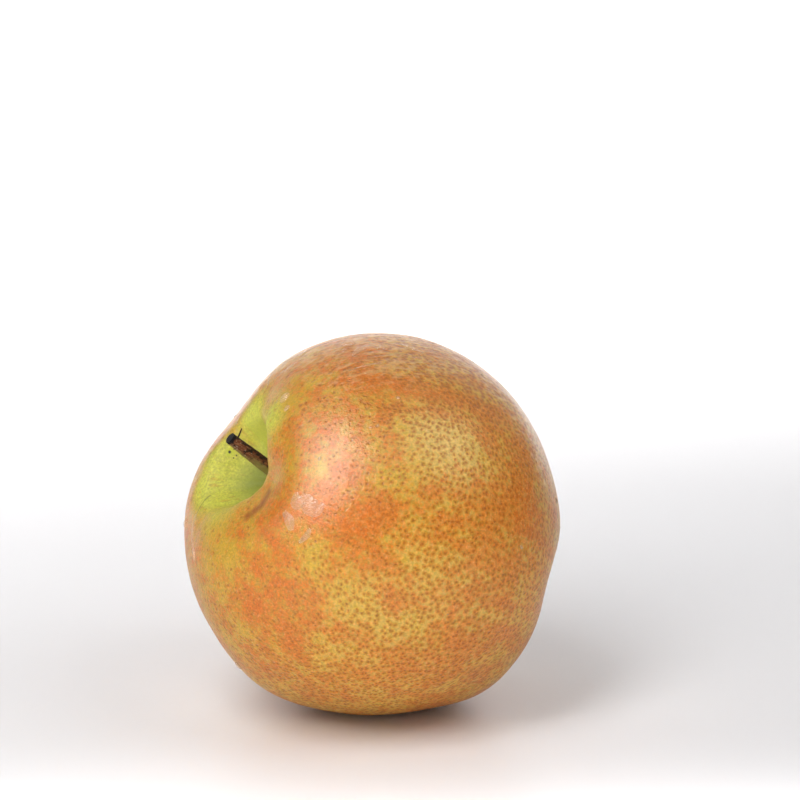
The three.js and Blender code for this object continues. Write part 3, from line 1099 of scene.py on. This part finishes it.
class PearStemSettings(bpy.types.PropertyGroup):
    """Sizes and colours of the stem."""

    rings: IntProperty(name="Rings", description="Rings along the stem", default=120, min=8)
    sides: IntProperty(name="Sides", description="Faces around the stem", default=72, min=8)
    ridge_height: length_value("Ridge Height", "Height of the stem's long ridges", 0.08)
    bark_height: length_value("Bark Height", "Height of the bark's roughness", 0.25)
    bark: color_value("Bark", "Red brown of the bark", (0.15, 0.045, 0.018))
    fibres: color_value("Fibres", "Pale fibres of the bark", (0.36, 0.16, 0.07))
    flecks: color_value("Flecks", "Dark flecks and the dark upper edge", (0.022, 0.012, 0.008))
    foot: color_value("Foot", "Olive green of the stem's foot", (0.3, 0.26, 0.08))
    specks: color_value("Specks", "Pale specks of the bark", (0.6, 0.42, 0.3))
    cut_end: color_value("Cut End", "Near black of the cut end", (0.006, 0.003, 0.005))


class PearDropSettings(bpy.types.PropertyGroup):
    """Sizes of the water drops."""

    density: FloatProperty(
        name="Density", description="Most strewn drops on a square metre", default=900.0, min=0
    )
    least_width: length_value("Least Width", "Width of the smallest strewn drop", 0.5)
    most_width: length_value("Most Width", "Width of the widest strewn drop", 1.2)


class PearStageSettings(bpy.types.PropertyGroup):
    """Light and floor of the picture."""

    floor: color_value("Floor", "Colour of the floor", (0.93, 0.92, 0.93))
    main_light: power_value("Main Light", "Power of the main light", 2.9)
    gloss_light: power_value("Gloss Light", "Power of the main highlight", 10.0)
    side_light: power_value("Side Light", "Power of the side light", 1.3)
    second_gloss: power_value("Second Gloss", "Power of the second highlight", 1.5)
    front_light: power_value("Front Light", "Power of the front light", 0.75)
    low_light: power_value("Low Light", "Power of the low light", 0.45)
    back_light: power_value("Back Light", "Power on the backdrop", 29.0)
    floor_light: power_value("Floor Light", "Power on the far floor", 10.0)
    near_light: power_value("Near Light", "Power on the near floor", 0.16)
    surround: FloatProperty(
        name="Surround", description="Strength of the white surround", default=0.1, min=0
    )


def finish_piece(piece, node):
    """A piece rides on the part's one body, and stands for a node of the part if one is named."""
    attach(piece, "root")
    if node:
        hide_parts(node)


class PEAR_OT_fruit(bpy.types.Operator):
    """Build the fruit"""

    bl_idname = "pear.fruit"
    bl_label = "Fruit"

    def execute(self, context):
        look = context.scene.pear_fruit
        guides = [
            guide_curve("outline_guide", [[(radius, 0, height) for radius, height in HALF_OUTLINE]]),
            guide_places("swelling_guide", SWELLINGS.values()),
            guide_places("blush_guide", BLUSH_PLACES),
            guide_places("green_guide", GREEN_PLACES),
        ]
        piece = run_tree("pear_fruit", fruit_tree(), {
            "Outline": guides[0],
            "Swellings": guides[1],
            "Blush Places": guides[2],
            "Green Places": guides[3],
            "Columns": look.columns,
            "Rows": look.rows,
            "Unevenness": look.unevenness,
            "Pleat Depth": look.pleat_depth,
            "Eye Relief": look.eye_relief,
            "Material": skin_material(look),
        })
        remove_guides(*guides)
        finish_piece(piece, "fruit")
        return {"FINISHED"}


class PEAR_OT_stem(bpy.types.Operator):
    """Build the stem"""

    bl_idname = "pear.stem"
    bl_label = "Stem"

    def execute(self, context):
        look = context.scene.pear_stem
        guide = guide_curve("stem_guide", [STEM_POINTS, FIBRE_POINTS])
        piece = run_tree("pear_stem", stem_tree(), {
            "Lines": guide,
            "Rings": look.rings,
            "Sides": look.sides,
            "Ridge Height": look.ridge_height,
            "Bark Height": look.bark_height,
            "Material": bark_material(look),
        })
        remove_guides(guide)
        finish_piece(piece, "stem")
        return {"FINISHED"}


class PEAR_OT_drops(bpy.types.Operator):
    """Build the drops of water on the skin"""

    bl_idname = "pear.drops"
    bl_label = "Water Drops"

    def execute(self, context):
        look = context.scene.pear_drops
        fruit = bpy.data.objects.get("pear_fruit")
        if fruit is None:
            raise RuntimeError("Build the fruit before its drops")
        guides = [
            guide_places("drop_guide", [(*place, 0, width) for *place, width in DROP_PLACES]),
            guide_curve("trickle_guide", [
                [(*direction(from_stem, around), half_width) for from_stem, around, half_width in line]
                for line in TRICKLES
            ]),
        ]
        piece = run_tree("water_drops", drop_tree(), {
            "Fruit": fruit,
            "Places": guides[0],
            "Trickles": guides[1],
            "Flatness": TRICKLE_FLATNESS,
            "Density": look.density,
            "Least Width": look.least_width,
            "Most Width": look.most_width,
            "Seed": DROP_SEED,
            "Material": water_material(),
        })
        remove_guides(*guides)
        finish_piece(piece, None)
        return {"FINISHED"}


def soft_light(name, towards, distance, sides, power, middle, is_glossy=True, is_diffuse=True, spread=180):
    """A soft light in the given direction from a point, facing it. Its sides are its width and height, its
    spread an angle in degrees. One that isn't glossy gives no highlight, and one that isn't diffuse gives
    only a highlight."""
    data = bpy.data.lights.new(name, "AREA")
    data.shape = "RECTANGLE"
    data.size, data.size_y = sides
    data.energy = power
    data.spread = math.radians(spread)
    light = bpy.data.objects.new(name, data)
    towards = Vector(towards).normalized()
    light.location = middle + towards * distance
    light.rotation_euler = towards.to_track_quat("Z", "Y").to_euler()
    light.visible_glossy = is_glossy
    light.visible_diffuse = is_diffuse
    bpy.context.collection.objects.link(light)
    return light


def photo_camera(middle):
    """A camera that sees the pear at the photograph's angle, size and place."""
    pixel = CAMERA_DISTANCE / PHOTO_FOCAL
    back = Vector((
        math.sin(CAMERA_AZIMUTH) * math.cos(CAMERA_ELEVATION),
        -math.cos(CAMERA_AZIMUTH) * math.cos(CAMERA_ELEVATION),
        math.sin(CAMERA_ELEVATION),
    ))
    right = UP.cross(back).normalized()
    up = back.cross(right)
    across = (PEAR_PIXEL[0] - PHOTO_SIDE / 2) * pixel
    down = (PEAR_PIXEL[1] - PHOTO_SIDE / 2) * pixel
    aim = middle - right * across + up * down
    data = bpy.data.cameras.new("camera")
    data.sensor_width = SENSOR
    data.lens = PHOTO_FOCAL * SENSOR / PHOTO_SIDE
    camera = bpy.data.objects.new("camera", data)
    camera.location = middle + back * CAMERA_DISTANCE
    camera.rotation_euler = (camera.location - aim).to_track_quat("Z", "Y").to_euler()
    bpy.context.collection.objects.link(camera)
    bpy.context.scene.camera = camera


def sweep(name, material):
    """A floor that curves up into a backdrop behind the pear, seen from the camera."""
    half, back, radius, top = 2.5, 2.2, 0.8, 3.0
    line = [(-back, 0.0), (back - radius, 0.0)]
    steps = 24
    for step in range(1, steps + 1):
        turn = step / steps * math.pi / 2
        line.append((back - radius + radius * math.sin(turn), radius - radius * math.cos(turn)))
    line.append((back, top))
    side = Vector((FORWARD.y, -FORWARD.x, 0))
    points = [FORWARD * away + side * across + UP * rise for away, rise in line for across in (-half, half)]
    faces = [(2 * i, 2 * i + 1, 2 * i + 3, 2 * i + 2) for i in range(len(line) - 1)]
    mesh = bpy.data.meshes.new(name)
    mesh.from_pydata(points, [], faces)
    mesh.polygons.foreach_set("use_smooth", [True] * len(faces))
    mesh.materials.append(material)
    board = bpy.data.objects.new(name, mesh)
    bpy.context.collection.objects.link(board)


class PEAR_OT_stage(bpy.types.Operator):
    """Build the floor, the lights and the camera"""

    bl_idname = "pear.stage"
    bl_label = "Stage"

    def execute(self, context):
        look = context.scene.pear_stage
        low, high = CAD_BOX
        middle = (low + high) / 2
        sweep("floor", floor_material(look))
        for name, (towards, distance, sides, is_glossy, is_diffuse) in STUDIO_LIGHTS.items():
            power = getattr(look, name)
            soft_light(name, towards, distance, sides, power, middle, is_glossy, is_diffuse)
        backdrop = middle + FORWARD * BACKDROP_WAY
        soft_light("back_light", 0.9 * UP - FORWARD, 1.3, (1.6, 0.6), look.back_light, backdrop)
        far, near = (FORWARD * way for way in (FAR_FLOOR_WAY, NEAR_FLOOR_WAY))
        soft_light("floor_light", UP, 0.9, (1.8, 0.7), look.floor_light, far, is_glossy=False, spread=70)
        light = soft_light(
            "near_light", UP, 0.3, (0.5, 0.06), look.near_light, near, is_glossy=False, spread=30
        )
        light.rotation_euler.z = CAMERA_AZIMUTH
        world = bpy.data.worlds.new("surround")
        world.use_nodes = True
        nodes = Nodes(world.node_tree)
        surround = world.node_tree.nodes["Background"]
        surround.inputs["Color"].default_value = (1, 1, 1, 1)
        is_seen = nodes.add("ShaderNodeLightPath").outputs["Is Camera Ray"]
        strength = nodes.times_plus(is_seen, 1 - look.surround, look.surround)
        nodes.feed(surround.inputs["Strength"], strength)
        context.scene.world = world
        context.scene.view_settings.view_transform = "Standard"
        photo_camera(middle)
        return {"FINISHED"}


class PEAR_PT_panel(bpy.types.Panel):
    """Lists the pear's pieces and their settings"""

    bl_idname = "PEAR_PT_panel"
    bl_label = "Nashi Pear"
    bl_space_type = "VIEW_3D"
    bl_region_type = "UI"
    bl_category = "Pear"

    def draw(self, context):
        for settings, group, operator in PARTS:
            box = self.layout.box()
            box.operator(operator.bl_idname)
            for name in group.__annotations__:
                box.prop(getattr(context.scene, settings), name)


PARTS = [
    ("pear_fruit", PearFruitSettings, PEAR_OT_fruit),
    ("pear_stem", PearStemSettings, PEAR_OT_stem),
    ("pear_drops", PearDropSettings, PEAR_OT_drops),
    ("pear_stage", PearStageSettings, PEAR_OT_stage),
]


def register():
    for settings, group, operator in PARTS:
        bpy.utils.register_class(group)
        bpy.utils.register_class(operator)
        setattr(bpy.types.Scene, settings, PointerProperty(type=group))
    bpy.utils.register_class(PEAR_PT_panel)


def unregister():
    bpy.utils.unregister_class(PEAR_PT_panel)
    for settings, group, operator in reversed(PARTS):
        delattr(bpy.types.Scene, settings)
        bpy.utils.unregister_class(operator)
        bpy.utils.unregister_class(group)


def main():
    """Build everything."""
    register()
    bpy.ops.pear.fruit()
    bpy.ops.pear.stem()
    bpy.ops.pear.drops()
    bpy.ops.pear.stage()


if __name__ == "__main__":
    main()
